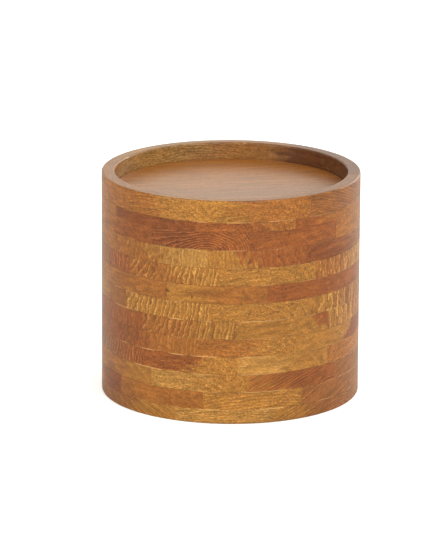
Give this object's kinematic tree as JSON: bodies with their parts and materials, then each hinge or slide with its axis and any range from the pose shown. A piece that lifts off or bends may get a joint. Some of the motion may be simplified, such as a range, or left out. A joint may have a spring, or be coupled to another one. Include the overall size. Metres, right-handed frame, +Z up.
{
  "type": "spice box",
  "caption": "Round laminated-wood spice box with a lift-off recessed lid, brass cups below and on a lift-out tray with a knob, and a small spoon.",
  "frame": {"origin": "centre of the face that the box stands on", "axes": "+Z up along the drum's axis; -Y is the front, and the first upper cup stands there"},
  "size_m": [0.22, 0.22, 0.1923],
  "materials": {
    "mango_wood_boards": "satin lacquer over turned boards",
    "panel_wood": "satin lacquer",
    "plug_wood": "oiled",
    "tray_wood": "oiled",
    "cup_brass": "spun and polished",
    "knob_brass": "turned and polished",
    "spoon_brass": "polished",
    "screw_steel": "plain"
  },
  "bodies": {
    "box": {"wall_course_01": "mango_wood_boards", "wall_course_02": "mango_wood_boards", "wall_course_03": "mango_wood_boards", "wall_course_04": "mango_wood_boards", "wall_course_05": "mango_wood_boards", "wall_course_06": "mango_wood_boards", "wall_course_07": "mango_wood_boards", "wall_course_08": "mango_wood_boards", "wall_course_09": "mango_wood_boards", "wall_course_10": "mango_wood_boards", "wall_course_11": "mango_wood_boards", "base_panel": "panel_wood"},
    "lid": {"lid_course": "mango_wood_boards", "lid_rim_course": "mango_wood_boards", "lid_panel": "panel_wood", "lid_plug": "plug_wood"},
    "tray": {"tray_board": "tray_wood", "tray_post": "knob_brass", "post_knob": "knob_brass", "post_screw": "screw_steel"},
    "spoon": {"spoon": "spoon_brass"},
    "lower_cup_centre": {"lower_cup_centre": "cup_brass"},
    "lower_cup_1": {"lower_cup_1": "cup_brass"},
    "lower_cup_2": {"lower_cup_2": "cup_brass"},
    "lower_cup_3": {"lower_cup_3": "cup_brass"},
    "lower_cup_4": {"lower_cup_4": "cup_brass"},
    "lower_cup_5": {"lower_cup_5": "cup_brass"},
    "lower_cup_6": {"lower_cup_6": "cup_brass"},
    "upper_cup_1": {"upper_cup_1": "cup_brass"},
    "upper_cup_2": {"upper_cup_2": "cup_brass"},
    "upper_cup_3": {"upper_cup_3": "cup_brass"},
    "upper_cup_4": {"upper_cup_4": "cup_brass"},
    "upper_cup_5": {"upper_cup_5": "cup_brass"},
    "upper_cup_6": {"upper_cup_6": "cup_brass"}
  },
  "joints": [
    {"name": "lid_lift", "type": "slide", "parent": "box", "child": "lid", "axis": [0, 0, 1], "range_m": [0, 0.3]},
    {"name": "tray_lift", "type": "slide", "parent": "box", "child": "tray", "axis": [0, 0, 1], "range_m": [0, 0.18]},
    {"name": "spoon_lift", "type": "slide", "parent": "tray", "child": "spoon", "axis": [0, 0, 1], "range_m": [0, 0.06]},
    {"name": "lower_cup_centre_lift", "type": "slide", "parent": "box", "child": "lower_cup_centre", "axis": [0, 0, 1], "range_m": [0, 0.16]},
    {"name": "lower_cup_1_lift", "type": "slide", "parent": "box", "child": "lower_cup_1", "axis": [0, 0, 1], "range_m": [0, 0.16]},
    {"name": "lower_cup_2_lift", "type": "slide", "parent": "box", "child": "lower_cup_2", "axis": [0, 0, 1], "range_m": [0, 0.16]},
    {"name": "lower_cup_3_lift", "type": "slide", "parent": "box", "child": "lower_cup_3", "axis": [0, 0, 1], "range_m": [0, 0.16]},
    {"name": "lower_cup_4_lift", "type": "slide", "parent": "box", "child": "lower_cup_4", "axis": [0, 0, 1], "range_m": [0, 0.16]},
    {"name": "lower_cup_5_lift", "type": "slide", "parent": "box", "child": "lower_cup_5", "axis": [0, 0, 1], "range_m": [0, 0.16]},
    {"name": "lower_cup_6_lift", "type": "slide", "parent": "box", "child": "lower_cup_6", "axis": [0, 0, 1], "range_m": [0, 0.16]},
    {"name": "upper_cup_1_lift", "type": "slide", "parent": "tray", "child": "upper_cup_1", "axis": [0, 0, 1], "range_m": [0, 0.021]},
    {"name": "upper_cup_2_lift", "type": "slide", "parent": "tray", "child": "upper_cup_2", "axis": [0, 0, 1], "range_m": [0, 0.021]},
    {"name": "upper_cup_3_lift", "type": "slide", "parent": "tray", "child": "upper_cup_3", "axis": [0, 0, 1], "range_m": [0, 0.021]},
    {"name": "upper_cup_4_lift", "type": "slide", "parent": "tray", "child": "upper_cup_4", "axis": [0, 0, 1], "range_m": [0, 0.021]},
    {"name": "upper_cup_5_lift", "type": "slide", "parent": "tray", "child": "upper_cup_5", "axis": [0, 0, 1], "range_m": [0, 0.021]},
    {"name": "upper_cup_6_lift", "type": "slide", "parent": "tray", "child": "upper_cup_6", "axis": [0, 0, 1], "range_m": [0, 0.021]}
  ],
  "couplings": [
    {"joint": "tray_lift", "follows": "lid_lift", "ratio": 0.6},
    {"joint": "spoon_lift", "follows": "lid_lift", "ratio": 0.2},
    {"joint": "lower_cup_centre_lift", "follows": "lid_lift", "ratio": 0.53},
    {"joint": "lower_cup_1_lift", "follows": "lid_lift", "ratio": 0.53},
    {"joint": "lower_cup_2_lift", "follows": "lid_lift", "ratio": 0.53},
    {"joint": "lower_cup_3_lift", "follows": "lid_lift", "ratio": 0.53},
    {"joint": "lower_cup_4_lift", "follows": "lid_lift", "ratio": 0.53},
    {"joint": "lower_cup_5_lift", "follows": "lid_lift", "ratio": 0.53},
    {"joint": "lower_cup_6_lift", "follows": "lid_lift", "ratio": 0.53},
    {"joint": "upper_cup_1_lift", "follows": "lid_lift", "ratio": 0.07},
    {"joint": "upper_cup_2_lift", "follows": "lid_lift", "ratio": 0.07},
    {"joint": "upper_cup_3_lift", "follows": "lid_lift", "ratio": 0.07},
    {"joint": "upper_cup_4_lift", "follows": "lid_lift", "ratio": 0.07},
    {"joint": "upper_cup_5_lift", "follows": "lid_lift", "ratio": 0.07},
    {"joint": "upper_cup_6_lift", "follows": "lid_lift", "ratio": 0.07}
  ]
}
